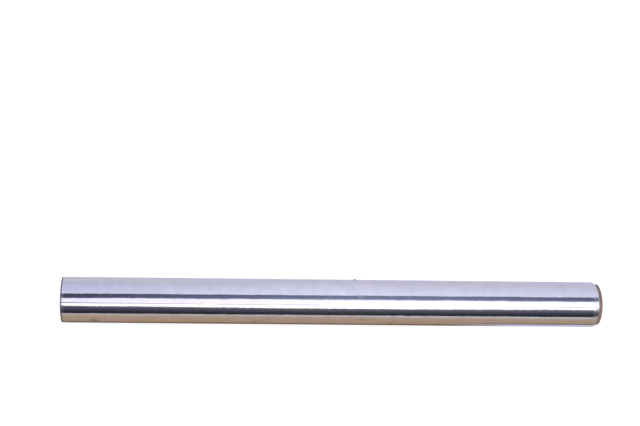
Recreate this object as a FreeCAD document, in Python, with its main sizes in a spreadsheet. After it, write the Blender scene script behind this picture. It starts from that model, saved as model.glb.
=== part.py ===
"""A roll of aluminium foil wound on a paper core, lying on its side.

Sizes are in millimetres. X runs along the roll, towards the end where the core stands out, Z is
up and -Y is the front. The origin is on the axis of the core's bore, half way along the core.
"""
import FreeCAD
import Part
import Sketcher
import os

# Driving sizes: name, value, what it is
SIZES = [
    ("bore_diameter", 31.6, "hole through the paper core"),
    ("core_wall", 1.5, "thickness of the core's wound paper"),
    ("core_length", 450.0, "cut length of the core"),
    ("core_bevel", 0.25, "softened outer corner of the core's cut ends"),
    ("wind_gap", 0.02, "radial room between the core and the first turn"),
    ("foil_width", 450.0, "width of the foil sheet"),
    ("wound_depth", 1.8, "radial depth of all the turns together"),
    ("core_stand_out", 3.7, "core beyond the last turns at the right end"),
    ("turn_groups", 6, "steps that the turns make at each end"),
    ("turn_shift", 1.3, "how far right of the last turns the first turns sit"),
    ("turn_wander", 0.12, "side to side wander from one group of turns to the next"),
    ("edge_zone", 2.8, "width of the foil edge that is turned in at each end"),
    ("edge_turn_in", 0.2, "how far the turned-in edge comes in"),
    ("tail_lift", 0.12, "height of the step at the free end of the foil"),
    ("tail_angle", 65.5, "degrees that the free end lies above the front"),
    ("flat_depth", 0.15, "how far the underside has settled flat"),
]

# Sizes that follow from the driving ones, as expressions of the sheet
CORE_RADIUS = "(Sizes.bore_diameter / 2 + Sizes.core_wall)"
WIND_RADIUS = f"({CORE_RADIUS} + Sizes.wind_gap)"
FOIL_RADIUS = f"({WIND_RADIUS} + Sizes.wound_depth)"
TAIL_RADIUS = f"({FOIL_RADIUS} + Sizes.tail_lift)"
CUT_REACH = "(2 * Sizes.wound_depth)"
CUT_RADIUS = f"({TAIL_RADIUS} + {CUT_REACH})"
CORE_END = "(Sizes.core_length / 2)"
RIGHT_END = f"({CORE_END} - Sizes.core_stand_out)"
LEFT_END = f"({RIGHT_END} - Sizes.foil_width)"
SHIFT_REACH = "(Sizes.turn_shift + Sizes.turn_wander)"
FLAT_LEVEL = f"(Sizes.flat_depth - {FOIL_RADIUS})"

doc = FreeCAD.newDocument("foil_roll")
sheet = doc.addObject("Spreadsheet::Sheet", "Sizes")


def fill_sheet():
    """Write each driving size to the sheet with its name as the alias."""
    for row, (name, value, meaning) in enumerate(SIZES, start=1):
        sheet.set(f"A{row}", name)
        sheet.set(f"B{row}", str(value))
        sheet.setAlias(f"B{row}", name)
        sheet.set(f"C{row}", meaning)
    doc.recompute()


def number(expression):
    """Value of an expression of the sheet as a plain number."""
    return float(sheet.evalExpression(expression))


def add_body(name):
    """New body whose label names its file."""
    body = doc.addObject("PartDesign::Body", name)
    body.Label = name
    return body


def add_sketch(body, name, plane, offset=None):
    """Sketch on one of the body's origin planes, moved along its normal by an expression."""
    sketch = body.newObject("Sketcher::SketchObject", name)
    support = next(item for item in body.Origin.OriginFeatures if item.Role == plane)
    sketch.AttachmentSupport = [(support, "")]
    sketch.MapMode = "FlatFace"
    if offset:
        sketch.setExpression("AttachmentOffset.Base.z", offset)
    return sketch


def hold(sketch, constraint, expression):
    """Add a constraint that has a size and bind that size to an expression."""
    index = sketch.addConstraint(constraint)
    sketch.setExpression(f"Constraints[{index}]", expression)


def draw_outline(sketch, corners):
    """Closed outline of straight lines through corners, each a pair of expressions."""
    points = [FreeCAD.Vector(number(across), number(up), 0) for across, up in corners]
    count = len(corners)
    for index in range(count):
        sketch.addGeometry(Part.LineSegment(points[index], points[(index + 1) % count]), False)
    for index, (across, up) in enumerate(corners):
        sketch.addConstraint(Sketcher.Constraint("Coincident", index, 2, (index + 1) % count, 1))
        hold(sketch, Sketcher.Constraint("DistanceX", -1, 1, index, 1, points[index].x), across)
        hold(sketch, Sketcher.Constraint("DistanceY", -1, 1, index, 1, points[index].y), up)


def check_cut(feature, before):
    """Stop if a cut took nothing off the solid, which had the given volume."""
    if feature.Shape.Volume >= before:
        raise RuntimeError(f"{feature.Name} cuts nothing")


def make_core():
    """Paper core: a plain tube, turned about the roll's axis, with softened outer corners."""
    body = add_body("core_tube")
    sketch = add_sketch(body, "CoreWall", "XZ_Plane")
    bore = "(Sizes.bore_diameter / 2)"
    shoulder = f"({CORE_RADIUS} - Sizes.core_bevel)"
    bevel_start = f"({CORE_END} - Sizes.core_bevel)"
    draw_outline(sketch, [
        (f"-{CORE_END}", bore), (CORE_END, bore),
        (CORE_END, shoulder), (bevel_start, CORE_RADIUS),
        (f"-{bevel_start}", CORE_RADIUS), (f"-{CORE_END}", shoulder),
    ])
    tube = body.newObject("PartDesign::Revolution", "CoreTube")
    tube.Profile = sketch
    tube.ReferenceAxis = (sketch, ["H_Axis"])
    tube.Angle = 360
    doc.recompute()
    return body


def draw_winding(sketch):
    """Section across the wound foil: the hole for the core and an outer line that spirals.

    The outer line is two half circles. The first is centred on the axis and runs from under the
    free end, round the front and the underside. The second is centred half a step towards the
    free end, so that it leaves the first one smoothly and arrives a whole step higher.
    """
    away_y = "cos(Sizes.tail_angle)"
    away_z = "sin(Sizes.tail_angle)"
    wind_radius, foil_radius, tail_radius = map(number, (WIND_RADIUS, FOIL_RADIUS, TAIL_RADIUS))
    towards_tail = FreeCAD.Vector(-number(away_y), number(away_z), 0)
    towards_front = FreeCAD.Vector(-towards_tail.y, towards_tail.x, 0)
    under = towards_tail * foil_radius
    tail = towards_tail * tail_radius
    second_centre = (tail - under) / 2
    back = second_centre - towards_front * (foil_radius + tail_radius) / 2
    first = sketch.addGeometry(Part.Arc(under, towards_front * foil_radius, -under), False)
    second = sketch.addGeometry(Part.Arc(-under, back, tail), False)
    step = sketch.addGeometry(Part.LineSegment(tail, under), False)
    round_core = Part.Circle(FreeCAD.Vector(), FreeCAD.Vector(0, 0, 1), wind_radius)
    hole = sketch.addGeometry(round_core, False)
    start, end, centre = 1, 2, 3
    for pair in [(first, end, second, start), (second, end, step, start), (step, end, first, start),
                 (first, centre, -1, 1), (hole, centre, -1, 1)]:
        sketch.addConstraint(Sketcher.Constraint("Coincident", *pair))
    hold(sketch, Sketcher.Constraint("Radius", hole, wind_radius), WIND_RADIUS)
    hold(sketch, Sketcher.Constraint("Radius", first, foil_radius), FOIL_RADIUS)
    for geometry, place, across, expression in [
        (first, start, under.x, f"-{FOIL_RADIUS} * {away_y}"),
        (first, end, -under.x, f"{FOIL_RADIUS} * {away_y}"),
        (second, end, tail.x, f"-{TAIL_RADIUS} * {away_y}"),
        (second, centre, second_centre.x, f"-Sizes.tail_lift / 2 * {away_y}"),
    ]:
        hold(sketch, Sketcher.Constraint("DistanceX", -1, 1, geometry, place, across), expression)
    hold(sketch, Sketcher.Constraint("DistanceY", -1, 1, second, centre, second_centre.y),
         f"Sizes.tail_lift / 2 * {away_z}")


def turn_offset(group, groups):
    """Expression for how far a group of turns has slipped to the right, none for the last one."""
    if group == groups - 1:
        return "0"
    sign = "+" if group % 2 else "-"
    return f"(Sizes.turn_shift * {groups - 1 - group} / {groups - 1} {sign} Sizes.turn_wander)"


def turn_end(body, name, end, outward):
    """Turn one end of the wound foil to its steps of turns and its turned-in outer edge.

    end is the expression for the last turns' edge, and outward is "+" or "-" along X. Each
    group of turns keeps the foil's width, so both ends slip the same way.
    """
    groups = int(number("Sizes.turn_groups"))
    inward = "-" if outward == "+" else "+"
    corners = []
    for group in range(groups):
        face = f"({end} + {turn_offset(group, groups)})"
        inner = f"({WIND_RADIUS} + Sizes.wound_depth * {group} / {groups})"
        outer = f"({WIND_RADIUS} + Sizes.wound_depth * {group + 1} / {groups})"
        if group == 0:
            inner = f"({WIND_RADIUS} - {CUT_REACH})"
        if group == groups - 1:
            outer = f"({FOIL_RADIUS} - Sizes.edge_turn_in)"
        corners += [(face, inner), (face, outer)]
    zone_start = f"({end} {inward} Sizes.edge_zone)"
    far_side = f"({end} {outward} ({SHIFT_REACH} + {CUT_REACH}))"
    corners += [
        (zone_start, TAIL_RADIUS), (zone_start, CUT_RADIUS),
        (far_side, CUT_RADIUS), (far_side, corners[0][1]),
    ]
    sketch = add_sketch(body, f"{name}Profile", "XZ_Plane")
    draw_outline(sketch, corners)
    before = body.Shape.Volume
    groove = body.newObject("PartDesign::Groove", name)
    groove.Profile = sketch
    groove.ReferenceAxis = (sketch, ["H_Axis"])
    groove.Angle = 360
    doc.recompute()
    check_cut(groove, before)


def make_foil():
    """Wound foil: one solid for all its turns, open at the middle for the core."""
    body = add_body("foil_roll")
    section = add_sketch(body, "WindingSection", "YZ_Plane", f"{LEFT_END} - {SHIFT_REACH}")
    draw_winding(section)
    winding = body.newObject("PartDesign::Pad", "Winding")
    winding.Profile = section
    winding.setExpression("Length", f"Sizes.foil_width + 2 * {SHIFT_REACH}")
    doc.recompute()

    turn_end(body, "RightEnd", RIGHT_END, "+")
    turn_end(body, "LeftEnd", LEFT_END, "-")

    sketch = add_sketch(body, "FlatSpotProfile", "XY_Plane", FLAT_LEVEL)
    low_x = f"({LEFT_END} - {CUT_REACH})"
    high_x = f"({RIGHT_END} + {CUT_REACH})"
    draw_outline(sketch, [(low_x, f"-{FOIL_RADIUS}"), (high_x, f"-{FOIL_RADIUS}"),
                          (high_x, FOIL_RADIUS), (low_x, FOIL_RADIUS)])
    before = body.Shape.Volume
    flat = body.newObject("PartDesign::Pocket", "FlatSpot")
    flat.Profile = sketch
    flat.Type = "Length"
    flat.setExpression("Length", CUT_REACH)
    doc.recompute()
    check_cut(flat, before)
    return body


def check_document(bodies):
    """Stop if any object failed, or a finished piece isn't one sound solid."""
    for item in doc.Objects:
        if "Invalid" in item.State or "Error" in item.State:
            raise RuntimeError(f"{item.Name} failed: {item.State}")
    for body in bodies:
        shape = body.Shape
        if shape.isNull() or not shape.isValid() or len(shape.Solids) != 1:
            raise RuntimeError(f"{body.Label} is not one sound solid")


def main():
    """Build both pieces, check them and write one file each."""
    fill_sheet()
    bodies = [make_core(), make_foil()]
    doc.recompute()
    check_document(bodies)
    os.makedirs("parts", exist_ok=True)
    for body in bodies:
        body.Shape.exportStep(f"parts/{body.Label}.step")
        box = body.Shape.BoundBox
        print(f"{body.Label}: {body.Shape.Volume:.1f} mm3, {len(body.Shape.Faces)} faces, "
              f"X {box.XMin:.2f} to {box.XMax:.2f}, Z {box.ZMin:.3f} to {box.ZMax:.3f}")


main()
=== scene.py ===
"""Looks of a roll of aluminium foil on a brown paper core, lying on a pale floor.

Everything is in metres. X runs along the roll towards the end where the core stands out, Z is up
and -Y is the front. Angles round the roll are elevations: 0 is the front, 90 is straight up and
180 is the back. The wrap map's U runs along a piece, and its V runs once round it.
"""

import logging
import math
import random
from collections.abc import Callable
from dataclasses import dataclass
from enum import Enum

import bmesh
import bpy
from mathutils import Matrix, Vector, noise


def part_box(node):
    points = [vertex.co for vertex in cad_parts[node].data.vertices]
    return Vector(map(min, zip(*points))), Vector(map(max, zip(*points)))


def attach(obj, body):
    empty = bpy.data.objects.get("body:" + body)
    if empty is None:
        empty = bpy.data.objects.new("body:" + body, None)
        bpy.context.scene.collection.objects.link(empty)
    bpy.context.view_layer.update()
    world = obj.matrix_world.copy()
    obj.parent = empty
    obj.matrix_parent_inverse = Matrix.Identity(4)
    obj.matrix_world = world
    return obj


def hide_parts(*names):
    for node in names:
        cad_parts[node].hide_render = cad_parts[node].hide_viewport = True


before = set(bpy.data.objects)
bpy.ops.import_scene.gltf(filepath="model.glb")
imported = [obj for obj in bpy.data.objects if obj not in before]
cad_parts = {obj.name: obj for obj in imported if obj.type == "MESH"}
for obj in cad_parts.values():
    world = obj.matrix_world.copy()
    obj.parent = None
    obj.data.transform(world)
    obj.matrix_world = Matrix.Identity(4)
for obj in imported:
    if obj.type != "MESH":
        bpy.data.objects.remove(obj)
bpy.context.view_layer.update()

Colour = tuple[float, float, float]
Pair = tuple[float, float]
Stops = tuple[tuple[float, Colour], ...]
Socket = bpy.types.NodeSocket

BODY = "root"
WRAP_MAP = "wrap"
SAME_PLACE = 1e-6
PLAIN = (1.0, 1.0, 1.0)
log = logging.getLogger("foil_roll")


class Side(Enum):
    """The two ends of the roll, as directions along X."""

    RIGHT = 1
    LEFT = -1


class Level(Enum):
    """What a selection works on, with its name in an edit mesh."""

    VERT = "verts"
    EDGE = "edges"
    FACE = "faces"


def point_at(angle: float, radius: float, along: float = 0.0) -> Vector:
    """Place a point round the roll's axis.

    Args:
        angle: elevation in degrees.
        radius: distance from the axis.
        along: position along the roll.

    Returns:
        The point in the roll's frame.
    """
    turn = math.radians(angle)
    return Vector((along, -radius * math.cos(turn), radius * math.sin(turn)))


def angle_of(point: Vector) -> float:
    """Elevation of a point round the axis, in degrees from 0 up to 360."""
    return math.degrees(math.atan2(point.z, -point.y)) % 360.0


def radius_of(point: Vector) -> float:
    """Distance of a point from the roll's axis."""
    return math.hypot(point.y, point.z)


def turn_down(point: Vector, degrees: float) -> None:
    """Turn a point round the axis towards smaller elevations."""
    point.rotate(Matrix.Rotation(math.radians(degrees), 3, "X"))


def opaque(colour: Colour) -> tuple[float, float, float, float]:
    """Colour with full opacity, as sockets take it."""
    return (*colour, 1.0)


def start_clean() -> None:
    """Leave edit mode and deselect everything before a new primitive."""
    if bpy.context.mode != "OBJECT":
        bpy.ops.object.mode_set(mode="OBJECT")
    bpy.ops.object.select_all(action="DESELECT")


class Modeller:
    """Edit-mode work on one mesh object, with selections made in code."""

    obj: bpy.types.Object

    def take(self, name: str) -> None:
        """Take on the primitive that was just added, and name it.

        Args:
            name: name of the object and its mesh.
        """
        self.obj = bpy.context.active_object
        self.obj.name = name
        self.obj.data.name = name

    def apply_place(self) -> None:
        """Move the object's place, turn and scale into its mesh."""
        bpy.ops.object.transform_apply(location=True, rotation=True, scale=True)

    def edit(self) -> bmesh.types.BMesh:
        """Enter edit mode if needed.

        Returns:
            The edit mesh.
        """
        if bpy.context.mode != "EDIT_MESH":
            bpy.ops.object.mode_set(mode="EDIT")
        return bmesh.from_edit_mesh(self.obj.data)

    def leave(self) -> None:
        """Go back to object mode."""
        bpy.ops.object.mode_set(mode="OBJECT")

    def pick(self, level: Level, test: Callable[[object], bool]) -> None:
        """Select only what passes a test.

        Args:
            level: kind of element to select.
            test: called with each element of that kind.
        """
        mesh = self.edit()
        bpy.ops.mesh.select_mode(type=level.name)
        bpy.ops.mesh.select_all(action="DESELECT")
        for item in filter(test, getattr(mesh, level.value)):
            item.select = True
        mesh.select_flush_mode()
        bmesh.update_edit_mesh(self.obj.data)

    def pick_places(self, test: Callable[[Vector], bool]) -> None:
        """Select only the vertices whose places pass a test."""
        self.pick(Level.VERT, lambda vertex: test(vertex.co))

    def move(self, shift: Colour) -> None:
        """Move the selection."""
        bpy.ops.transform.translate(value=shift)

    def resize(self, scale: Colour, centre: Vector | Colour) -> None:
        """Scale the selection about a centre."""
        bpy.ops.transform.resize(value=scale, center_override=centre)

    def extrude(self, step: Vector | Colour, scale: Colour, centre: Vector | Colour) -> None:
        """Extrude the selection by a step, and scale its new end about a centre."""
        bpy.ops.mesh.extrude_region_move(TRANSFORM_OT_translate={"value": step})
        self.resize(scale, centre)

    def tidy_normals(self) -> None:
        """Merge doubles and point every face outwards."""
        self.edit()
        bpy.ops.mesh.select_all(action="SELECT")
        bpy.ops.mesh.remove_doubles(threshold=1e-7)
        bpy.ops.mesh.normals_make_consistent(inside=False)

    def apply(self, kind: str, **settings: object) -> None:
        """Add a modifier and apply it.

        Args:
            kind: the modifier's type.
            settings: its settings.
        """
        modifier = self.obj.modifiers.new(kind.lower(), kind)
        for name, value in settings.items():
            setattr(modifier, name, value)
        bpy.ops.object.modifier_apply(modifier=modifier.name)

    def group(self, name: str, weight: Callable[[Vector], float]) -> None:
        """Make a vertex group.

        Args:
            name: the group's name.
            weight: called with each vertex's place for its weight.
        """
        group = self.obj.vertex_groups.new(name=name)
        for vertex in self.obj.data.vertices:
            amount = weight(vertex.co)
            if amount > 0.0:
                group.add([vertex.index], amount, "REPLACE")


class Piece(Modeller):
    """A finished piece of the roll: a tube between two ends.

    Each has its own finish_of, which says which of the finishes a face gets.
    """

    left: float
    right: float

    def end(self, side: Side) -> float:
        """Place of one end along the roll."""
        return self.right if side is Side.RIGHT else self.left

    def wrap(self, start: float) -> None:
        """Give the piece its wrap map.

        Args:
            start: elevation where V is 0, so that the map's seam lies there.
        """
        mesh = self.obj.data
        length = self.right - self.left
        spots = [((vertex.co.x - self.left) / length, (angle_of(vertex.co) - start) % 360.0 / 360.0)
                 for vertex in mesh.vertices]
        mapped = mesh.uv_layers.new(name=WRAP_MAP).data
        for face in mesh.polygons:
            corners = [spots[index] for index in face.vertices]
            highest = max(around for _, around in corners)
            for loop, (along, around) in zip(face.loop_indices, corners):
                mapped[loop].uv = (along, around + (highest - around > 0.5))

    def dress(self, node: str, slot: str, finishes: tuple[object, ...], angle: float) -> None:
        """Give each face its finish, smooth the piece and hang it on the body.

        Args:
            node: CAD node that the piece stands for.
            slot: the record's slot for its finish; not used.
            finishes: the finishes that finish_of numbers.
            angle: degrees up to which faces are smoothed together.
        """
        for finish in finishes:
            self.obj.data.materials.append(finish.material())
        for polygon in self.obj.data.polygons:
            polygon.material_index = self.finish_of(polygon)
        bpy.ops.object.shade_smooth_by_angle(angle=math.radians(angle))
        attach(self.obj, BODY)
        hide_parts(node)


@dataclass
class NodeTree:
    """Short-hand for building a node tree."""

    tree: bpy.types.NodeTree

    def add(self, kind: str, values: dict | None = None, **settings: object) -> bpy.types.Node:
        """Add a node.

        Args:
            kind: node type without the "ShaderNode" prefix.
            values: socket name or number to its value or to the output that feeds it.
            settings: the node's own properties.

        Returns:
            The new node.
        """
        node = self.tree.nodes.new(f"ShaderNode{kind}")
        for name, value in settings.items():
            setattr(node, name, value)
        for name, value in (values or {}).items():
            socket = node.inputs[name]
            if isinstance(value, Socket):
                self.tree.links.new(value, socket)
            else:
                socket.default_value = opaque(value) if socket.type == "RGBA" else value
        return node

    def math(self, operation: str, first: object, second: object = 0.0) -> Socket:
        """Output of a math node on two values or sockets."""
        return self.add("Math", {0: first, 1: second}, operation=operation).outputs[0]

    def times(self, first: object, second: object) -> Socket:
        """Product of two values or sockets."""
        return self.math("MULTIPLY", first, second)

    def plus(self, first: object, second: object) -> Socket:
        """Sum of two values or sockets."""
        return self.math("ADD", first, second)

    def vector(self, operation: str, first: object, second: object) -> Socket:
        """Output of a vector math node on two vectors or sockets."""
        return self.add("VectorMath", {0: first, 1: second}, operation=operation).outputs["Vector"]

    def length(self, vector: Socket) -> Socket:
        """Length of a vector."""
        return self.add("VectorMath", {0: vector}, operation="LENGTH").outputs["Value"]

    def off_axis(self, place: Socket) -> Socket:
        """Distance of a place from the roll's axis."""
        return self.length(self.vector("MULTIPLY", place, (0.0, 1.0, 1.0)))

    def span(self, value: Socket, low: float, high: float,
             to_low: float = 0.0, to_high: float = 1.0) -> Socket:
        """Value mapped from one range to another, and kept within it."""
        return self.add("MapRange", {0: value, 1: low, 2: high, 3: to_low, 4: to_high}).outputs[0]

    def blend(self, amount: object, first: object, second: object) -> Socket:
        """Colour mixed from first to second by an amount."""
        return self.add("Mix", {0: amount, 6: first, 7: second}, data_type="RGBA").outputs[2]

    def noise(self, vector: Socket, scale: float, detail: float = 2.0) -> Socket:
        """Value output of a noise texture."""
        return self.add("TexNoise", {"Vector": vector, "Scale": scale, "Detail": detail}).outputs[0]

    def grain(self, vector: Socket, scales: Pair) -> list[Socket]:
        """Height and coarse patches of the shared grain, with its two scales."""
        values = {"Vector": vector, "Coarse": scales[0], "Fine": scales[1]}
        return list(self.add("Group", values, node_tree=bpy.data.node_groups[Grain.name]).outputs)

    def specks(self, vector: Socket, scale: float, size: float) -> Socket:
        """Mask of the shared specks."""
        values = {"Vector": vector, "Scale": scale, "Size": size}
        return self.add("Group", values, node_tree=bpy.data.node_groups[Specks.name]).outputs[0]

    def place(self) -> Socket:
        """Object coordinates."""
        return self.add("TexCoord").outputs["Object"]

    def wrap(self) -> Socket:
        """The piece's wrap map."""
        return self.add("UVMap", uv_map=WRAP_MAP).outputs[0]

    def parts(self, vector: Socket) -> bpy.types.NodeOutputs:
        """X, Y and Z of a vector."""
        return self.add("SeparateXYZ", {0: vector}).outputs

    def stretched(self, vector: Socket, scale: Colour, turn: float = 0.0) -> Socket:
        """Vector scaled by different amounts along its axes, and turned about Z."""
        values = {"Vector": vector, "Scale": scale, "Rotation": (0.0, 0.0, turn)}
        return self.add("Mapping", values).outputs[0]

    def bump(self, height: Socket, distance: float, strength: float = 1.0, **under: Socket) -> Socket:
        """Normal that a height gives, on top of another one where that is given as Normal."""
        values = {"Height": height, "Distance": distance, "Strength": strength}
        return self.add("Bump", values | under).outputs[0]

    def graded(self, value: Socket, stops: Stops) -> Socket:
        """Run a colour through stops.

        Args:
            value: what the colour goes by.
            stops: rising values and their colours.

        Returns:
            The colour.
        """
        low = stops[0][0]
        high = stops[-1][0]
        node = self.add("ValToRGB", {0: self.span(value, low, high)})
        band = node.color_ramp.elements
        for at, tint in stops[1:-1]:
            band.new((at - low) / (high - low)).color = opaque(tint)
        band[0].color = opaque(stops[0][1])
        band[-1].color = opaque(stops[-1][1])
        return node.outputs[0]


class EffectGroup(NodeTree):
    """A new node group for several finishes, with a vector input and number inputs."""

    def __init__(self, name: str, **inputs: float) -> None:
        """Start the group.

        Args:
            name: the group's name.
            inputs: number inputs and their default values.
        """
        super().__init__(bpy.data.node_groups.new(name, "ShaderNodeTree"))
        self.tree.interface.new_socket("Vector", in_out="INPUT", socket_type="NodeSocketVector")
        for label, value in inputs.items():
            socket = self.tree.interface.new_socket(label, in_out="INPUT", socket_type="NodeSocketFloat")
            socket.default_value = value
        self.inputs = self.tree.nodes.new("NodeGroupInput").outputs

    def put_out(self, **results: Socket) -> None:
        """Give the group its number outputs.

        Args:
            results: name of each output and what feeds it.
        """
        for label in results:
            self.tree.interface.new_socket(label, in_out="OUTPUT", socket_type="NodeSocketFloat")
        leave = self.tree.nodes.new("NodeGroupOutput")
        for label, value in results.items():
            self.tree.links.new(value, leave.inputs[label])


class MaterialTree(NodeTree):
    """The node tree of a new material."""

    def __init__(self, name: str) -> None:
        """Start the material with an empty tree.

        Args:
            name: the material's name.
        """
        self.material = bpy.data.materials.new(name)
        self.material.use_nodes = True
        self.material.node_tree.nodes.clear()
        super().__init__(self.material.node_tree)

    def shaded(self, kind: str, values: dict) -> bpy.types.Material:
        """Give the material its shader.

        Args:
            kind: the shader's node type.
            values: its values, and the outputs that feed it.

        Returns:
            The material.
        """
        shader = self.add(kind, values)
        self.tree.links.new(shader.outputs[0], self.add("OutputMaterial").inputs[0])
        return self.material


@dataclass(frozen=True)
class Grain:
    """Fine uneven grain in two sizes, for metal and paper alike."""

    name: str = "fine_grain"
    coarse_share: float = 0.6
    coarse_detail: float = 3.0
    patches: Pair = (0.35, 0.7)

    def build(self) -> None:
        """Build the node group."""
        nodes = EffectGroup(self.name, Coarse=200.0, Fine=1500.0)
        coarse = nodes.noise(nodes.inputs["Vector"], nodes.inputs["Coarse"], self.coarse_detail)
        fine = nodes.noise(nodes.inputs["Vector"], nodes.inputs["Fine"])
        height = nodes.plus(
            nodes.times(coarse, self.coarse_share), nodes.times(fine, 1.0 - self.coarse_share))
        nodes.put_out(Height=height, Patches=nodes.span(coarse, *self.patches))


@dataclass(frozen=True)
class Specks:
    """Sparse small specks: dust on the metal and dark fibres in the paper."""

    name: str = "specks"
    field_scale: float = 60.0
    field_level: float = 0.56

    def build(self) -> None:
        """Build the node group."""
        nodes = EffectGroup(self.name, Scale=300.0, Size=0.08)
        vector = nodes.inputs["Vector"]
        cells = nodes.add("TexVoronoi", {"Vector": vector, "Scale": nodes.inputs["Scale"]})
        near = nodes.math("LESS_THAN", cells.outputs["Distance"], nodes.inputs["Size"])
        some = nodes.math("GREATER_THAN", nodes.noise(vector, self.field_scale, 1.0), self.field_level)
        nodes.put_out(Mask=nodes.times(near, some))


@dataclass(frozen=True)
class HandlingMark:
    """An oval mark on the foil, by its place and reach on the wrap map."""

    along: float
    around: float
    reach_along: float
    reach_around: float
    strength: float
    rim: Pair = (1.7, 0.9)

    def mask(self, nodes: NodeTree, wrap: Socket, uneven: Socket) -> Socket:
        """Find the mark's strength over the surface.

        Args:
            nodes: the material's tree.
            wrap: the wrap map.
            uneven: noise that roughens the mark's outline.

        Returns:
            The mask.
        """
        centred = nodes.vector("SUBTRACT", wrap, (self.along, self.around, 0.0))
        scale = (1.0 / self.reach_along, 1.0 / self.reach_around, 0.0)
        distance = nodes.length(nodes.vector("MULTIPLY", centred, scale))
        return nodes.span(nodes.plus(distance, uneven), *self.rim, 0.0, self.strength)


@dataclass(frozen=True)
class FoilFace:
    """Bright outside of the foil: sharp reflections round the roll, soft ones along it."""

    bright: Colour = (0.93, 0.93, 0.94)
    dull: Colour = (0.86, 0.86, 0.88)
    wear_scales: Pair = (38.0, 130.0)
    roughness: float = 0.1
    rough_patches: float = 0.06
    anisotropy: float = 0.75
    even: Colour = (1.0, 0.27, 1.0)
    line_stretch: Colour = (1.0, 0.02, 1.0)
    line_scales: Pair = (240.0, 900.0)
    line_height: float = 0.000002
    ripple_scale: float = 90.0
    ripple_height: float = 0.00006
    fleck_scale: float = 170.0
    fleck_size: float = 0.16
    fleck_share: float = 0.16
    right_zone: Pair = (0.9905, 0.9924)
    left_zone: Pair = (0.00475, 0.00285)
    zone_ripple: float = 1.6
    zone_roughness: float = 0.12
    outline_scale: float = 420.0
    smudge: Colour = (0.5, 0.44, 0.4)
    smudges: tuple[HandlingMark, ...] = (
        HandlingMark(0.062, 0.846, 0.0095, 0.026, 0.75), HandlingMark(0.6105, 0.838, 0.006, 0.02, 0.42))
    scuffs: tuple[HandlingMark, ...] = (
        HandlingMark(0.554, 0.055, 0.014, 0.014, 0.2), HandlingMark(0.497, 0.057, 0.007, 0.012, 0.13))

    def material(self) -> bpy.types.Material:
        """Build the material on the wrap map.

        Returns:
            The material.
        """
        nodes = MaterialTree("foil_face")
        wrap = nodes.wrap()
        foil = nodes.stretched(wrap, self.even)
        _, wear = nodes.grain(foil, self.wear_scales)
        uneven = nodes.noise(foil, self.outline_scale)
        colour = nodes.blend(wear, self.bright, self.dull)
        for mark in self.smudges:
            colour = nodes.blend(mark.mask(nodes, wrap, uneven), colour, self.smudge)
        roughness = nodes.plus(self.roughness, nodes.times(wear, self.rough_patches))
        for mark in self.scuffs:
            roughness = nodes.plus(roughness, mark.mask(nodes, wrap, uneven))
        along = nodes.parts(wrap)["X"]
        zone = nodes.math(
            "MAXIMUM", nodes.span(along, *self.right_zone), nodes.span(along, *self.left_zone))
        lines, _ = nodes.grain(nodes.stretched(wrap, self.line_stretch), self.line_scales)
        flecks = nodes.specks(foil, self.fleck_scale, self.fleck_size)
        ripples = nodes.plus(nodes.noise(foil, self.ripple_scale), nodes.times(flecks, self.fleck_share))
        ripples = nodes.times(ripples, nodes.plus(1.0, nodes.times(zone, self.zone_ripple)))
        tangent = nodes.add("Tangent", direction_type="UV_MAP", uv_map=WRAP_MAP)
        return nodes.shaded("BsdfPrincipled", {
            "Base Color": colour,
            "Metallic": 1.0,
            "Roughness": nodes.plus(roughness, nodes.times(zone, self.zone_roughness)),
            "Anisotropic": self.anisotropy,
            "Normal": nodes.bump(
                ripples, self.ripple_height, Normal=nodes.bump(lines, self.line_height)),
            "Tangent": tangent.outputs[0],
        })


@dataclass(frozen=True)
class FoilEdge:
    """Cut edges of the turns at the ends: fine rings, greyer and rougher than the face."""

    name: str = "foil_edge"
    bright: Colour = (0.8, 0.8, 0.82)
    dark: Colour = (0.3, 0.3, 0.33)
    roughness: float = 0.32
    dark_roughness: float = 0.15
    uneven_scales: Pair = (160.0, 1200.0)
    dimmed: float = 0.6
    ring_pitch: float = 0.00009
    ring_wobble: float = 0.000135
    ring_height: float = 0.00003
    ring_strength: float = 0.8

    def material(self) -> bpy.types.Material:
        """Build the material on Object coordinates, with rings by the distance from the axis.

        Returns:
            The material.
        """
        nodes = MaterialTree(self.name)
        place = nodes.place()
        height, patches = nodes.grain(place, self.uneven_scales)
        distance = nodes.plus(nodes.off_axis(place), nodes.times(height, self.ring_wobble))
        rings = nodes.span(nodes.math("SINE", nodes.times(distance, math.tau / self.ring_pitch)), -1.0, 1.0)
        lit = nodes.times(rings, nodes.span(patches, 0.0, 1.0, 1.0, self.dimmed))
        return nodes.shaded("BsdfPrincipled", {
            "Base Color": nodes.blend(lit, self.dark, self.bright),
            "Metallic": 1.0,
            "Roughness": nodes.span(lit, 0.0, 1.0, self.roughness + self.dark_roughness, self.roughness),
            "Normal": nodes.bump(rings, self.ring_height, self.ring_strength),
        })


@dataclass(frozen=True)
class PaintedShadeRimAndBurr(FoilEdge):
    """The left rim and the torn burr: the same rings, far darker. On the left rim the darkness is a painted
    shade line.
    """

    name: str = "crushed_rim"
    bright: Colour = (0.3, 0.3, 0.33)
    dark: Colour = (0.12, 0.12, 0.14)
    roughness: float = 0.4


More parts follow.
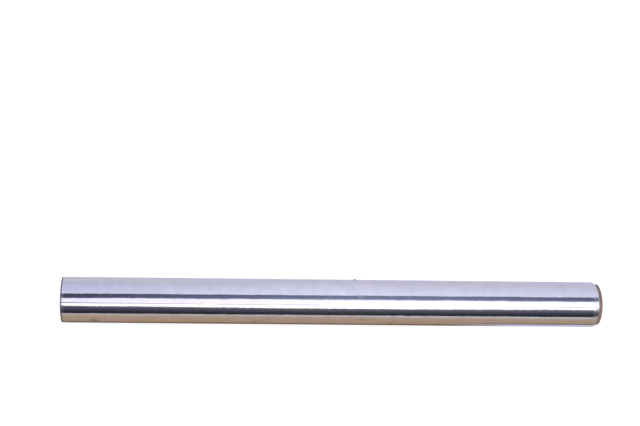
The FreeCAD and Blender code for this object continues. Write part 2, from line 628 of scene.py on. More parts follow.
@dataclass(frozen=True)
class KraftBoard:
    """Brown spiral-wound paper: fibres along the strip, darker specks and a dark patch on its back at the
    right end.
    """

    pale: Colour = (0.37, 0.25, 0.21)
    deep: Colour = (0.24, 0.15, 0.125)
    lie: float = 0.9
    even: Colour = (1.0, 0.24, 1.0)
    fibre_stretch: Colour = (1.0, 6.0, 1.0)
    fibre_scales: Pair = (60.0, 420.0)
    fibre_range: Pair = (0.3, 0.7)
    fibre_height: float = 0.00005
    fibre_strength: float = 0.7
    mottle_scales: Pair = (35.0, 300.0)
    mottle_share: float = 0.35
    fleck: Colour = (0.08, 0.05, 0.04)
    fleck_scale: float = 420.0
    fleck_size: float = 0.2
    fleck_share: float = 0.6
    # Dark patch on the back of the core, near its right end.
    mark: Colour = (0.05, 0.055, 0.055)
    dark_patch_upper: Pair = (0.355, 0.39)
    dark_patch_lower: Pair = (0.5, 0.47)
    dark_patch_end: Pair = (0.985, 0.988)
    roughness: float = 0.82
    mottle_gloss: float = 0.1
    specular: float = 0.25

    def material(self) -> bpy.types.Material:
        """Build the material on the wrap map, turned to the lie of the paper strip.

        Returns:
            The material.
        """
        nodes = MaterialTree("kraft_board")
        wrap = nodes.wrap()
        strip = nodes.stretched(wrap, self.even, self.lie)
        fibres, _ = nodes.grain(nodes.stretched(strip, self.fibre_stretch), self.fibre_scales)
        _, mottle = nodes.grain(strip, self.mottle_scales)
        flecks = nodes.specks(strip, self.fleck_scale, self.fleck_size)
        around = nodes.parts(wrap)["Y"]
        in_dark_patch = nodes.times(
            nodes.times(nodes.span(around, *self.dark_patch_upper), nodes.span(around, *self.dark_patch_lower)),
            nodes.span(nodes.parts(wrap)["X"], *self.dark_patch_end))
        tone = nodes.blend(nodes.span(fibres, *self.fibre_range), self.deep, self.pale)
        for amount, colour in (
                (nodes.times(mottle, self.mottle_share), self.deep),
                (nodes.times(flecks, self.fleck_share), self.fleck),
                (in_dark_patch, self.mark)):
            tone = nodes.blend(amount, tone, colour)
        return nodes.shaded("BsdfPrincipled", {
            "Base Color": tone,
            "Roughness": nodes.span(mottle, 0.0, 1.0, self.roughness - self.mottle_gloss, self.roughness),
            "Specular IOR Level": self.specular,
            "Normal": nodes.bump(fibres, self.fibre_height, self.fibre_strength),
        })


@dataclass(frozen=True)
class BoardCut:
    """Sawn end of the core: paler than its faces, with the plies and their glue lines as rings."""

    ply: Colour = (0.38, 0.27, 0.22)
    glue: Colour = (0.17, 0.105, 0.085)
    inner: float = 0.0158
    pitch: float = 0.000375
    wobble: float = 0.0001875
    glue_line: Pair = (0.75, 0.95)
    glue_strength: float = 0.75
    fuzz_scales: Pair = (900.0, 4500.0)
    fuzz_share: float = 0.4
    fuzz_height: float = 0.00006
    fuzz_strength: float = 0.8
    roughness: float = 0.9
    specular: float = 0.2

    def material(self) -> bpy.types.Material:
        """Build the material on Object coordinates, with rings by the distance from the axis.

        Returns:
            The material.
        """
        nodes = MaterialTree("board_cut")
        place = nodes.place()
        fuzz, patches = nodes.grain(place, self.fuzz_scales)
        depth = nodes.math("SUBTRACT", nodes.off_axis(place), self.inner)
        depth = nodes.plus(depth, nodes.times(fuzz, self.wobble))
        in_ply = nodes.math("FRACT", nodes.math("DIVIDE", depth, self.pitch))
        line = nodes.span(in_ply, *self.glue_line, 0.0, self.glue_strength)
        paper = nodes.blend(nodes.times(patches, self.fuzz_share), self.ply, self.glue)
        return nodes.shaded("BsdfPrincipled", {
            "Base Color": nodes.blend(line, paper, self.glue),
            "Roughness": self.roughness,
            "Specular IOR Level": self.specular,
            "Normal": nodes.bump(fuzz, self.fuzz_height, self.fuzz_strength),
        })


@dataclass(frozen=True)
class Dent:
    """A shallow press mark in the foil's outer turn."""

    along: float
    angle: float
    reach: float
    depth: float


@dataclass
class FoilRoll(Piece):
    """The wound foil: outer turn with its free end, stepped turn edges and the settled underside.

    The free end is the tail. It lies pressed down but for the left end, where it curls up.
    """

    width: float = 0.45
    sides: int = 360
    length_cuts: int = 71
    flat_depth: float = 0.00015
    clearance: float = 0.00003
    wind_gap: float = 0.00002
    edge_zone: float = 0.0028
    rim: tuple[Pair, ...] = (
        (0.0001, 0.00005), (0.001, 0.00008), (0.0017, 0.00011), (0.0025, 0.00018), (0.0028, 0.00028))
    turn_groups: int = 6
    rings_per_group: int = 6
    turn_shift: float = 0.0013
    turn_wander: float = 0.00012
    ring_jitter: float = 0.00005
    ring_set_back: float = 0.3
    ring_flat: float = 0.45
    face_depth: float = 0.0004
    tail_angle: float = 65.5
    tail_lift: float = 0.00012
    tail_wave: float = 0.00035
    tail_slope: float = 0.25
    tail_fade: float = 0.65
    tail_rise: float = 1.5
    tail_release: Pair = (5.0, 0.3)
    tail_sway: float = 0.06
    tail_reach: float = 14.0
    tail_curl: float = 1.3
    curl_slope: float = 1.05
    curl_rise: float = 0.9
    curl_reach: float = 0.08
    sway_pitch: float = 14.0
    wave_pitch: float = 9.0
    wobble_pitch: float = 60.0
    wobble_share: float = 0.3
    behind_share: float = 0.4
    waves: tuple[tuple[str, float, float], ...] = (
        ("long_waves", 0.13, 0.00005), ("ripples", 0.03, 0.000012))
    wave_depth: float = 0.0003
    wave_middle: float = 0.75
    wave_ends: float = 0.01
    wave_above: float = 0.0006
    dents: tuple[Dent, ...] = (
        Dent(-0.2012, 35.0, 0.003, 0.00006),
        Dent(0.0518, 30.0, 0.003, 0.00006),
        Dent(-0.12, 42.0, 0.005, 0.00004),
        Dent(0.16, 96.0, 0.006, 0.00004),
    )
    dent_core: float = 0.8
    burr_along: float = 0.0165
    burr_angle: float = 155.0
    burr_reach: float = 0.0013
    burr_sides: float = 0.55
    burr_cuts: int = 9
    burr_height: float = 0.00062
    burr_steps: tuple[Colour, ...] = ((0.35, 0.85, 0.0), (0.35, 0.7, 0.00015), (0.3, 0.3, 0.0003))
    burr_base: float = 0.0001
    burr_spread: float = 0.00195
    burr_jitter: float = 0.00018
    # Width of the left rim's band that gets the dark finish, a painted shade line.
    painted_shade_rim_width: float = 0.0009
    inner_skin: float = 0.0002
    smooth_angle: float = 12.0
    seed: int = 7

    def __post_init__(self) -> None:
        """Take the ends, the radius and the underside from the frame."""
        low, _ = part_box("foil_roll")
        _, core_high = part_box("core_tube")
        self.left = low.x
        self.right = low.x + self.width
        self.floor = low.z
        self.radius = self.flat_depth - low.z - self.clearance
        self.inner_radius = core_high.z + self.wind_gap
        self.side_angle = 360.0 / self.sides
        self.face_length = self.width / self.length_cuts

    def build(self) -> bpy.types.Object:
        """Model and dress the foil.

        Returns:
            The finished piece, which replaces the CAD node.
        """
        self._add_wall()
        self._turn_ends()
        self._close_inside()
        self._cut_length()
        self.pick_places(lambda place: place.z < self.floor)
        self.resize((1.0, 1.0, 0.0), (0.0, 0.0, self.floor))
        self._shape_tail()
        self._lift_tail()
        self._soften()
        self.pick_places(lambda place: place.x < self.left)
        self.resize((0.0, 1.0, 1.0), (self.left, 0.0, 0.0))
        self._press_dents()
        self._raise_burr()
        finishes = (FoilFace(), FoilEdge(), PaintedShadeRimAndBurr())
        self.dress("foil_roll", "foil", finishes, self.smooth_angle)
        return self.obj

    def _add_wall(self) -> None:
        """Add an open tube for the outer turn between the edge zones, with one line at the tail."""
        start_clean()
        bpy.ops.mesh.primitive_cylinder_add(
            vertices=self.sides, radius=self.radius, depth=self.width - 2 * self.edge_zone,
            end_fill_type="NOTHING", location=((self.left + self.right) / 2, 0.0, 0.0),
            rotation=(0.0, math.pi / 2, 0.0))
        self.take("wound_foil")
        self.apply_place()
        verts = self.edit().verts
        gap = min((angle_of(vertex.co) - self.tail_angle) % 360.0 for vertex in verts)
        for vertex in verts:
            turn_down(vertex.co, gap)
        bmesh.update_edit_mesh(self.obj.data)

    def _end_steps(self, side: Side) -> list[Pair]:
        """Work out the profile of one end, from the outer face to the core.

        Args:
            side: end of the roll.

        Returns:
            Places along the roll and radii.
        """
        edge = self.end(side)
        zone = edge - side.value * self.edge_zone
        steps = [(zone + side.value * along, self.radius - drop) for along, drop in self.rim]
        depth = steps[-1][1]
        ring_depth = (depth - self.inner_radius) / (self.turn_groups * self.rings_per_group)
        draw = random.Random(self.seed + side.value)
        for group in range(self.turn_groups):
            sway = self.turn_wander * (0 if group == 0 else -1 if group % 2 else 1)
            place = edge + self.turn_shift * group / (self.turn_groups - 1) + sway
            for ring in range(self.rings_per_group):
                jitter = draw.uniform(-self.ring_jitter, self.ring_jitter)
                top = depth - ring_depth * (group * self.rings_per_group + ring + 0.5)
                steps.append((place + jitter, top))
                steps.append((place + jitter * self.ring_set_back, top - ring_depth * self.ring_flat))
        steps.append((steps[-1][0], self.inner_radius))
        return [(max(along, self.left), level) for along, level in steps]

    def _turn_ends(self) -> None:
        """Extrude both end loops inwards, ring by ring, along the ends' profiles."""
        for side in Side:
            at = self.end(side) - side.value * self.edge_zone
            radius = self.radius
            self.pick_places(lambda place: abs(place.x - at) < SAME_PLACE)
            for along, target in self._end_steps(side):
                taper = target / radius
                self.extrude((along - at, 0.0, 0.0), (1.0, taper, taper), (along, 0.0, 0.0))
                at = along
                radius = target

    def _close_inside(self) -> None:
        """Join the two inner loops with the wall that lies on the core."""
        self.pick(Level.EDGE, lambda edge: edge.is_boundary)
        bpy.ops.mesh.bridge_edge_loops()
        self.tidy_normals()

    def _cut_length(self) -> None:
        """Divide the long faces of the outer turn, so that it can wave and dent."""
        self.pick(Level.EDGE, lambda edge: edge.calc_length() > self.width / 2
                  and radius_of(edge.verts[0].co) > self.radius - self.tail_lift)
        bpy.ops.mesh.subdivide(number_cuts=self.length_cuts)

    def _curl(self, along: float) -> float:
        """How far the tail curls up at a place: fully at the left end, then less and less."""
        return math.exp(-(along - self.left) / self.width / self.curl_reach)

    def _shape_tail(self) -> None:
        """Make the tail steep and a little wavy."""
        for vertex in self.edit().verts:
            off = (angle_of(vertex.co) - self.tail_angle + 180.0) % 360.0 - 180.0
            row = round(off / self.side_angle)
            if abs(row) > 1 or radius_of(vertex.co) < self.radius - self.face_depth:
                continue
            along = vertex.co.x
            curl = self._curl(along)
            wave = noise.noise(Vector((along * self.wave_pitch, 0.0, 1.0)))
            wave += self.wobble_share * noise.noise(Vector((along * self.wobble_pitch, 5.0, 0.0)))
            shift = math.degrees(self.tail_wave * wave / self.radius)
            shift += self.curl_rise * self.side_angle * curl
            if row < 0:
                shift += (self.tail_slope - self.curl_slope * curl) * self.side_angle
            elif row > 0:
                shift *= self.behind_share
            turn_down(vertex.co, -shift)
        bmesh.update_edit_mesh(self.obj.data)
        self.leave()

    def _tail_weight(self, place: Vector) -> float:
        """Share of the tail's lift at a place: it grows over the half turn before the tail.

        Args:
            place: place of a vertex.

        Returns:
            The share, at most 1.
        """
        behind = (angle_of(place) - self.tail_angle + 0.01) % 360.0
        if behind > 180.0 or radius_of(place) < self.radius - self.face_depth:
            return 0.0
        share = (place.x - self.left) / self.width
        slope, kept = self.tail_release
        held = 1.0 - self.tail_fade * min(1.0, share * self.tail_rise, (1.0 - share) * slope + kept)
        held += self.tail_curl * self._curl(place.x)
        held += self.tail_sway * noise.noise(Vector((place.x * self.sway_pitch, 3.0, 0.0)))
        near_tail = math.exp(-behind / self.tail_reach)
        lift = (1.0 + math.cos(math.radians(behind))) / 2 * (1.0 + (held - 1.0) * near_tail)
        return lift / (1.0 + self.tail_curl)

    def _lift_tail(self) -> None:
        """Raise the last half turn into its spiral."""
        self.group("last_turn", self._tail_weight)
        self.apply("DISPLACE", vertex_group="last_turn", mid_level=0.0, direction="NORMAL",
                   strength=self.tail_lift * (1.0 + self.tail_curl))

    def _wave_weight(self, place: Vector) -> float:
        """Full weight on the outer face, fading out towards both ends and the flat.

        Args:
            place: place of a vertex.

        Returns:
            The weight.
        """
        if radius_of(place) < self.radius - self.wave_depth:
            return 0.0
        ends = min(place.x - self.left, self.right - place.x) / self.wave_ends
        above = (place.z - self.floor) / self.wave_above
        return max(0.0, min(1.0, ends, above))

    def _soften(self) -> None:
        """Let the outer turn wave gently, as thin foil does over the turns below."""
        self.wrap(self.tail_angle)
        self.group("outer_face", self._wave_weight)
        for label, size, height in self.waves:
            clouds = bpy.data.textures.new(label, "CLOUDS")
            clouds.noise_scale = size
            clouds.noise_depth = 1
            self.apply("DISPLACE", vertex_group="outer_face", mid_level=self.wave_middle,
                       direction="NORMAL", strength=height, texture=clouds, texture_coords="UV",
                       uv_layer=WRAP_MAP)

    def _press_dents(self) -> None:
        """Push the shallow press marks in, each with a soft fall-off."""
        for dent in self.dents:
            spot = point_at(dent.angle, self.radius, dent.along)
            core = dent.reach * self.dent_core
            self.pick_places(lambda place: (place - spot).length < core)
            bpy.ops.transform.translate(
                value=point_at(dent.angle, -dent.depth), use_proportional_edit=True,
                proportional_edit_falloff="SMOOTH", proportional_size=dent.reach)
        self.leave()

    def _near_burr(self, place: Vector, along: float, sides: float) -> bool:
        """Whether a place is near the middle of the burr's foot.

        Args:
            place: place on the roll.
            along: reach along the roll.
            sides: reach round it, in sides of the tube.

        Returns:
            True for a place within both.
        """
        turn = abs(angle_of(place) - self.burr_angle)
        return abs(place.x - self.burr_along) < along and turn < self.side_angle * sides

    def _on_burr(self, place: Vector) -> bool:
        """Whether a place lies on the burr, above the foil."""
        spot = point_at(self.burr_angle, self.radius, self.burr_along)
        return radius_of(place) > self.radius + self.burr_base and (place - spot).length < self.burr_spread

    def _raise_burr(self) -> None:
        """Raise the small torn burr at the back of the roll."""
        half = self.face_length / 2
        self.pick(Level.EDGE, lambda edge: edge.calc_length() > half
                  and self._near_burr((edge.verts[0].co + edge.verts[1].co) / 2, half, 1.0))
        bpy.ops.mesh.subdivide(number_cuts=self.burr_cuts)
        self.pick(Level.FACE, lambda face: self._near_burr(
            face.calc_center_median(), self.burr_reach, self.burr_sides))
        top = point_at(self.burr_angle, self.radius, self.burr_along)
        for rise, taper, lean in self.burr_steps:
            step = point_at(self.burr_angle, self.burr_height * rise, lean)
            top = top + step
            self.extrude(step, (taper, taper, taper), top)
        self.pick_places(self._on_burr)
        bpy.ops.transform.vertex_random(offset=self.burr_jitter, seed=self.seed)
        self.leave()

    def finish_of(self, polygon: bpy.types.MeshPolygon) -> int:
        """Choose a face's finish by its place.

        Args:
            polygon: face of the piece.

        Returns:
            0 for the bright face, 1 for the turns' edges and the inside, 2 for the left rim's painted shade
            line and for the burr.
        """
        place = polygon.center
        lowest = self.radius - self.rim[-2][1]
        near_end = min(place.x - self.left, self.right - place.x) < self.edge_zone
        turned_in = near_end and radius_of(place) < lowest and place.z > self.floor + self.face_depth
        skin = lowest - self.inner_skin if near_end else self.inner_radius + self.inner_skin
        inside = radius_of(place) < skin
        # Faces on the left rim's band take the dark finish: a painted shade line along that end.
        in_painted_shade_rim = place.x < self.left + self.painted_shade_rim_width and not inside
        return 2 if in_painted_shade_rim or self._on_burr(place) else int(turned_in or inside)


@dataclass
class CoreTube(Piece):
    """The paper core: two faces with a spiral seam, and cut ends that show the plies."""

    wall: float = 0.0015
    bevel: float = 0.00025
    strip_pitch: float = 0.064
    seam_width: float = 0.0007
    seam_depth: float = 0.00016
    inner_seam_depth: float = 0.0001
    sides: int = 128
    strip_cuts: int = 8
    spare_strips: float = 1.5
    plies: int = 4
    ply_step: float = 0.00005
    cut_slope: float = 0.6
    smooth_angle: float = 30.0

    def __post_init__(self) -> None:
        """Take the tube's ends and radius from the frame."""
        low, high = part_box("core_tube")
        self.left = low.x
        self.right = high.x
        self.radius = high.z

    def build(self) -> bpy.types.Object:
        """Model and dress the core.

        Returns:
            The finished piece, which replaces the CAD node.
        """
        self._add_strip()
        self._pull_seams()
        self._wind()
        self._cut_ends()
        self._show_plies()
        self.leave()
        self.wrap(0.0)
        self.dress("core_tube", "core", (KraftBoard(), BoardCut()), self.smooth_angle)
        return self.obj

    def _add_strip(self) -> None:
        """Add the section along one strip's width, as its outer and its inner line."""
        start_clean()
        self.strip_left = self.left - self.strip_pitch * self.spare_strips
        bpy.ops.mesh.primitive_grid_add(
            x_subdivisions=self.strip_cuts, y_subdivisions=1, size=1.0,
            location=(self.strip_left + self.strip_pitch / 2, self.radius - self.wall / 2, 0.0))
        self.take("paper_core")
        self.obj.scale = (self.strip_pitch, self.wall, 1.0)
        self.apply_place()
        self.pick(Level.FACE, lambda face: True)
        bpy.ops.mesh.delete(type="ONLY_FACE")
        self.pick(Level.EDGE, lambda edge: abs(edge.verts[0].co.x - edge.verts[1].co.x) < SAME_PLACE)
        bpy.ops.mesh.delete(type="EDGE")

    def _pull_seams(self) -> None:
        """Pull the strip's edges in from both faces, over the seam's width."""
        ends = (self.strip_left, self.strip_left + self.strip_pitch)
        cell = self.strip_pitch / self.strip_cuts
        for line, pull in (
                (self.radius, -self.seam_depth), (self.radius - self.wall, self.inner_seam_depth)):
            self.pick_places(lambda place: abs(place.y - line) < SAME_PLACE
                             and min(abs(place.x - end) for end in ends) < SAME_PLACE)
            self.move((0.0, pull, 0.0))
        for end, outwards in zip(ends, (-1.0, 1.0)):
            beside = end - outwards * cell
            self.pick_places(lambda place: abs(place.x - beside) < SAME_PLACE)
            self.move((outwards * (cell - self.seam_width), 0.0, 0.0))
        self.leave()

    def _wind(self) -> None:
        """Wind the section round the axis as a spiral, long enough to pass both ends."""
        turns = math.ceil((self.right - self.left) / self.strip_pitch) + math.ceil(2 * self.spare_strips)
        self.apply("SCREW", axis="X", screw_offset=self.strip_pitch, iterations=turns, angle=math.tau,
                   steps=self.sides, render_steps=self.sides, use_merge_vertices=True,
                   merge_threshold=SAME_PLACE)

    def _cut_ends(self) -> None:
        """Saw both ends square, and close them with rings for the plies."""
        for side in Side:
            end = self.end(side)
            self.edit()
            bpy.ops.mesh.select_all(action="SELECT")
            bpy.ops.mesh.bisect(
                plane_co=(end, 0.0, 0.0), plane_no=(side.value, 0.0, 0.0), clear_outer=True)
            self.pick(Level.EDGE, lambda edge: edge.is_boundary and all(
                abs(vertex.co.x - end) < SAME_PLACE for vertex in edge.verts))
            bpy.ops.mesh.bridge_edge_loops(
                number_cuts=self.plies * 2, interpolation="LINEAR", smoothness=0.0)
        self.tidy_normals()

    def _ring_levels(self, end: float) -> dict[int, int]:
        """Count the rings of a cut end from the outer edge inwards.

        Args:
            end: place of the cut along X.

        Returns:
            Ring number of each vertex on the cut, by its index.
        """
        mesh = self.edit()
        mesh.verts.index_update()
        on_cut = {vertex for vertex in mesh.verts if abs(vertex.co.x - end) < SAME_PLACE}
        outside = self.radius - self.wall / 2
        ring = [vertex for vertex in on_cut if radius_of(vertex.co) > outside
                and any(edge.other_vert(vertex) not in on_cut for edge in vertex.link_edges)]
        levels = {vertex.index: 0 for vertex in ring}
        while ring:
            beyond = {edge.other_vert(vertex) for vertex in ring for edge in vertex.link_edges}
            level = levels[ring[0].index] + 1
            ring = [vertex for vertex in beyond & on_cut if vertex.index not in levels]
            levels.update({vertex.index: level for vertex in ring})
        return levels

    def _show_plies(self) -> None:
        """Set every other ring of the cut ends back a little, and soften the outer corners."""
        for side in Side:
            levels = self._ring_levels(self.end(side))
            for level in range(max(levels.values())):
                back = self.bevel if level == 0 else self.ply_step * (level % 2)
                self.pick(Level.VERT, lambda vertex: levels.get(vertex.index) == level)
                self.move((-side.value * back, 0.0, 0.0))

    def finish_of(self, polygon: bpy.types.MeshPolygon) -> int:
        """Number of a face's finish: 0 for the board's faces, 1 for its cut ends."""
        return int(abs(polygon.normal.x) > self.cut_slope)


@dataclass
class Studio:
    """Floor, soft light, glowing cards that paint the reflections, and camera."""

    floor_level: float
    floor_size: float = 8.0
    floor_colour: Colour = (0.84, 0.84, 0.84)
    floor_patches: float = 6.0
    patch_range: Pair = (0.3, 0.7)
    patch_tone: float = 0.985
    floor_glow: float = 0.56
    air_colour: Colour = (0.9, 0.9, 0.92)
    air_strength: float = 0.7
    lamp_watts: float = 12.0
    lamp_size: Pair = (2.4, 1.4)
    lamp_angle: float = 64.0
    lamp_distance: float = 1.9

    def build(self) -> None:
        """Set up the whole studio."""
        self._floor()
        self._air()
        self._lamp()
        for card in (*CARDS, GroundCard(self.floor_level), PhotoCamera()):
            card.build()
        bpy.context.scene.view_settings.view_transform = "Standard"

    def _floor(self) -> None:
        """Lay the pale floor, a little brighter to the camera than its own light makes it."""
        start_clean()
        bpy.ops.mesh.primitive_plane_add(size=self.floor_size, location=(0.0, 0.0, self.floor_level))
        floor = bpy.context.active_object
        floor.name = "floor"
        nodes = MaterialTree("pale_floor")
        patches = nodes.noise(nodes.place(), self.floor_patches)
        tone = nodes.span(patches, *self.patch_range, self.patch_tone, 1.0)
        matte = nodes.add("BsdfDiffuse", {"Color": nodes.vector("MULTIPLY", self.floor_colour, tone)})
        rays = nodes.add("LightPath").outputs
        direct = nodes.plus(rays["Is Camera Ray"], rays["Is Glossy Ray"])
        seen = nodes.math("MINIMUM", nodes.plus(direct, rays["Is Transmission Ray"]), 1.0)
        glow = nodes.add("Emission", {"Color": PLAIN, "Strength": nodes.times(seen, self.floor_glow)})
        floor.data.materials.append(
            nodes.shaded("AddShader", {0: matte.outputs[0], 1: glow.outputs[0]}))

    def _air(self) -> None:
        """Set plain pale surroundings."""
        world = bpy.data.worlds.new("studio_air")
        bpy.context.scene.world = world
        world.use_nodes = True
        back = world.node_tree.nodes["Background"]
        back.inputs["Color"].default_value = opaque(self.air_colour)
        back.inputs["Strength"].default_value = self.air_strength

    def _lamp(self) -> None:
        """Hang a large soft lamp above and in front. A card takes its place in reflections."""
        lamp = bpy.data.lights.new("soft_lamp", "AREA")
        lamp.shape = "RECTANGLE"
        lamp.size = self.lamp_size[0]
        lamp.size_y = self.lamp_size[1]
        lamp.energy = self.lamp_watts
        holder = bpy.data.objects.new("soft_lamp", lamp)
        bpy.context.scene.collection.objects.link(holder)
        holder.location = point_at(self.lamp_angle, self.lamp_distance)
        holder.rotation_euler = (-holder.location).to_track_quat("-Z", "Y").to_euler()
        holder.visible_camera = False
        holder.visible_glossy = False


class Card(Modeller):
    """A studio card, out of shot, that only shows in reflections: it glows though it is no lamp, and paints
    what the foil reflects.
    """

    def glow(self, nodes: MaterialTree, colour: Socket) -> None:
        """Make the card glow, and hide it from all but reflections.

        Args:
            nodes: the tree of its material.
            colour: colour of the glow.
        """
        self.obj.data.materials.append(nodes.shaded("Emission", {"Color": colour, "Strength": 1.0}))
        for rays in ("camera", "diffuse", "shadow", "transmission"):
            setattr(self.obj, f"visible_{rays}", False)


@dataclass
class ArcCard(Card):
    """Long curved card round the roll, glowing as a painted reflection.

    The stops are elevations with their colours, and the gains are what the colours are multiplied
    by at the left, middle and right of the part of the card that the roll mirrors to the camera.
    The card is skewed along the roll, and sags by the bow at one place.
    """

    name: str
    stops: Stops
    gains: tuple[Colour, Colour, Colour]
    skew: float = 3.8
    bow: float = 0.0
    bow_middle: float = 0.27
    bow_reach: float = 0.45
    distance: float = 2.0
    length: float = 5.0
    mirrored: Pair = (-0.45, 0.9)
    bends: int = 24
    length_cuts: int = 49

    def build(self) -> None:
        """Spin one long edge round the roll's axis, and colour the card."""
        start_clean()
        bpy.ops.mesh.primitive_plane_add(size=1.0, location=(0.0, 0.0, 0.0))
        self.take(self.name)
        self.pick_places(lambda place: place.y > 0.0)
        bpy.ops.mesh.delete(type="VERT")
        bpy.ops.mesh.select_all(action="SELECT")
        bpy.ops.mesh.subdivide(number_cuts=self.length_cuts)
        low = self.stops[0][0]
        for vertex in self.edit().verts:
            along = vertex.co.x * self.length
            vertex.co = point_at(low + self._lean(along), self.distance, along)
        bmesh.update_edit_mesh(self.obj.data)
        bpy.ops.mesh.select_all(action="SELECT")
        bpy.ops.mesh.spin(steps=self.bends, angle=math.radians(self.stops[-1][0] - low),
                          center=(0.0, 0.0, 0.0), axis=(1.0, 0.0, 0.0))
        self.leave()
        self._colour()

    def _lean(self, along: float) -> float:
        """Degrees that the card's edges are raised by at a place along the roll."""
        offset = (along - self.bow_middle) / self.bow_reach
        return self.skew * along - self.bow * math.exp(-offset * offset)

    def _colour(self) -> None:
        """Colour the card by the angle round the roll and the place along it."""
        nodes = MaterialTree(self.name)
        place = nodes.parts(nodes.place())
        turn = nodes.times(
            nodes.math("ARCTAN2", place["Z"], nodes.times(place["Y"], -1.0)), math.degrees(1.0))
        offset = nodes.math("DIVIDE", nodes.math("SUBTRACT", place["X"], self.bow_middle), self.bow_reach)
        sag = nodes.math("EXPONENT", nodes.times(nodes.times(offset, offset), -1.0))
        level = nodes.math("SUBTRACT", turn, nodes.times(place["X"], self.skew))
        colour = nodes.graded(nodes.plus(level, nodes.times(sag, self.bow)), self.stops)
        marks = (self.mirrored[0], sum(self.mirrored) / 2, self.mirrored[1])
        gain = nodes.graded(place["X"], tuple(zip(marks, self.gains)))
        self.glow(nodes, nodes.vector("MULTIPLY", colour, gain))


# Painted reflections: dark flags, a bright soft box and a pale back card glow only where the foil reflects
# them, and light nothing.
CARDS = (
    ArcCard(
        "front_flag",
        ((1.7, (0.02, 0.02, 0.028)), (14.0, (0.03, 0.031, 0.042)), (30.0, (0.09, 0.09, 0.125)),
         (48.0, (0.2, 0.195, 0.25))),
        ((0.66, 0.63, 0.77), (1.12, 1.12, 1.07), (0.84, 0.92, 0.95)), skew=3.1),
    ArcCard(
        "painted_soft_box",
        ((44.8, (1.2, 1.2, 1.2)), (56.0, (1.15, 1.15, 1.2)), (60.0, (0.95, 0.91, 1.12)),
         (90.0, (0.93, 0.9, 1.12))),
        (PLAIN, (1.25, 1.25, 1.2), (1.3, 1.3, 1.2)), bow=5.8, distance=1.95),
    ArcCard(
        "top_flag",
        ((83.2, (0.12, 0.12, 0.26)), (90.2, (0.07, 0.075, 0.15)), (106.2, (0.055, 0.057, 0.095))),
        ((0.7, 0.7, 0.68), (3.2, 3.3, 2.8), (1.0, 1.12, 1.05)), distance=1.9, mirrored=(-0.4, 1.05)),
    ArcCard(
        "back_card",
        ((100.0, (0.74, 0.76, 1.0)), (106.5, (0.74, 0.76, 1.0)), (135.0, (0.66, 0.67, 0.9)),
         (165.0, (0.6, 0.6, 0.76)), (182.0, (0.58, 0.57, 0.7))),
        ((0.84, 0.83, 0.86), (1.06, 1.06, 1.02), (0.94, 0.94, 0.93))),
)


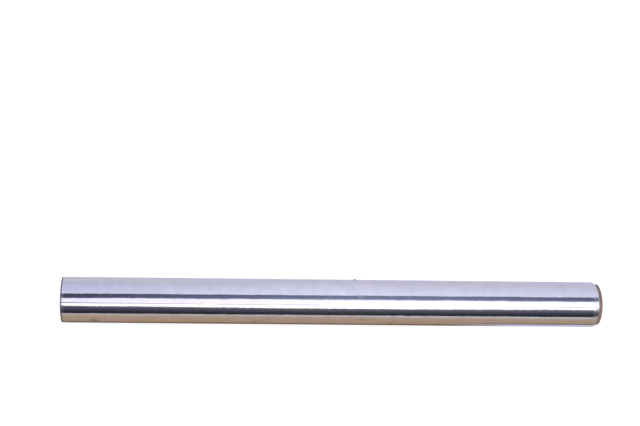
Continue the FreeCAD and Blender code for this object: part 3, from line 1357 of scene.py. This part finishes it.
@dataclass
class GroundCard(Card):
    """Low glowing card on the floor, a painted reflection of it: tan in front, grey lavender elsewhere.

    The stops are distances in front of the roll's axis with their colours; the dark first stops, next to
    the roll, are a painted contact shadow. Near the roll's right end the card turns pale, behind a dark
    line that is a painted shadow edge.
    """

    level: float
    reach: float = 4.0
    lift: float = 0.0003
    # The first stops are dark: painted contact shadow next to the roll.
    stops: Stops = (
        (0.0, (0.16, 0.125, 0.105)), (0.019, (0.16, 0.125, 0.105)), (0.026, (0.19, 0.145, 0.115)),
        (0.0325, (0.37, 0.275, 0.21)), (0.12, (0.42, 0.335, 0.275)), (0.45, (0.49, 0.455, 0.52)),
        (0.6, (0.5, 0.48, 0.58)))
    pinkish: Colour = (1.1, 0.96, 1.0)
    olive: Colour = (0.95, 1.02, 0.86)
    mottle_scale: float = 45.0
    mottle_range: Pair = (0.35, 0.65)
    blotch: Colour = (0.12, 0.1, 0.06)
    blotch_scale: float = 70.0
    blotch_range: Pair = (0.66, 0.72)
    blotch_share: float = 0.5
    right_part: Pair = (0.1, 0.16)
    # Dark line near the right end: a painted shadow edge.
    seam: Colour = (0.1, 0.095, 0.1)
    shadow_edge_near: Pair = (0.0398, 0.0368)
    grey: Colour = (0.56, 0.55, 0.68)
    grey_near: Pair = (0.0342, 0.0302)
    grey_behind: Pair = (0.0, -0.01)

    def build(self) -> None:
        """Lay the card, and colour it by the place on the floor."""
        start_clean()
        bpy.ops.mesh.primitive_plane_add(
            size=2 * self.reach, location=(0.0, 0.0, self.level + self.lift))
        self.take("ground_card")
        self.apply_place()
        nodes = MaterialTree("ground_card")
        place = nodes.place()
        front = nodes.times(nodes.parts(place)["Y"], -1.0)
        mottle = nodes.span(nodes.noise(place, self.mottle_scale), *self.mottle_range)
        blotches = nodes.span(
            nodes.noise(place, self.blotch_scale, 1.0), *self.blotch_range, 0.0, self.blotch_share)
        right = nodes.span(nodes.parts(place)["X"], *self.right_part)
        tan = nodes.graded(front, self.stops)
        tan = nodes.vector("MULTIPLY", tan, nodes.blend(mottle, self.pinkish, self.olive))
        tan = nodes.blend(blotches, tan, self.blotch)
        # Painted shadow edge: a dark line across the card near the roll's right end.
        tan = nodes.blend(nodes.times(right, nodes.span(front, *self.shadow_edge_near)), tan, self.seam)
        near = nodes.times(nodes.span(front, *self.grey_near), right)
        grey = nodes.math("MAXIMUM", near, nodes.span(front, *self.grey_behind))
        self.glow(nodes, nodes.blend(grey, tan, self.grey))


@dataclass(frozen=True)
class PhotoCamera:
    """Camera that looks steeply down on the roll from the front, left of its middle."""

    elevation: float = 73.0
    distance: float = 1.0404
    along: float = -0.117
    aim_along: float = -0.0624
    aim_back: float = 0.08
    roll: float = 8.307
    sensor: float = 36.0
    lens: float = 69.27
    shift: float = 0.09335
    nearest: float = 0.05
    farthest: float = 50.0

    def build(self) -> None:
        """Make the camera and point it."""
        data = bpy.data.cameras.new("photo_camera")
        data.sensor_width = self.sensor
        data.lens = self.lens
        data.shift_x = self.shift
        data.clip_start = self.nearest
        data.clip_end = self.farthest
        camera = bpy.data.objects.new("photo_camera", data)
        bpy.context.scene.collection.objects.link(camera)
        bpy.context.scene.camera = camera
        place = point_at(self.elevation, self.distance, self.along)
        forward = (Vector((self.aim_along, self.aim_back, 0.0)) - place).normalized()
        level_right = forward.cross(Vector((0.0, 0.0, 1.0))).normalized()
        level_up = level_right.cross(forward)
        turn = math.radians(self.roll)
        right = math.cos(turn) * level_right + math.sin(turn) * level_up
        axes = Matrix((right, right.cross(forward), -forward)).transposed()
        camera.matrix_world = Matrix.Translation(place) @ axes.to_4x4()


def main() -> None:
    """Build the roll and its studio, and report each piece."""
    logging.basicConfig(level=logging.INFO, format="%(name)s: %(message)s")
    for effect in (Grain(), Specks()):
        effect.build()
    foil = FoilRoll()
    for piece in (CoreTube().build(), foil.build()):
        log.info("%s: %d faces", piece.name, len(piece.data.polygons))
    Studio(foil.floor).build()


if __name__ == "__main__":
    main()
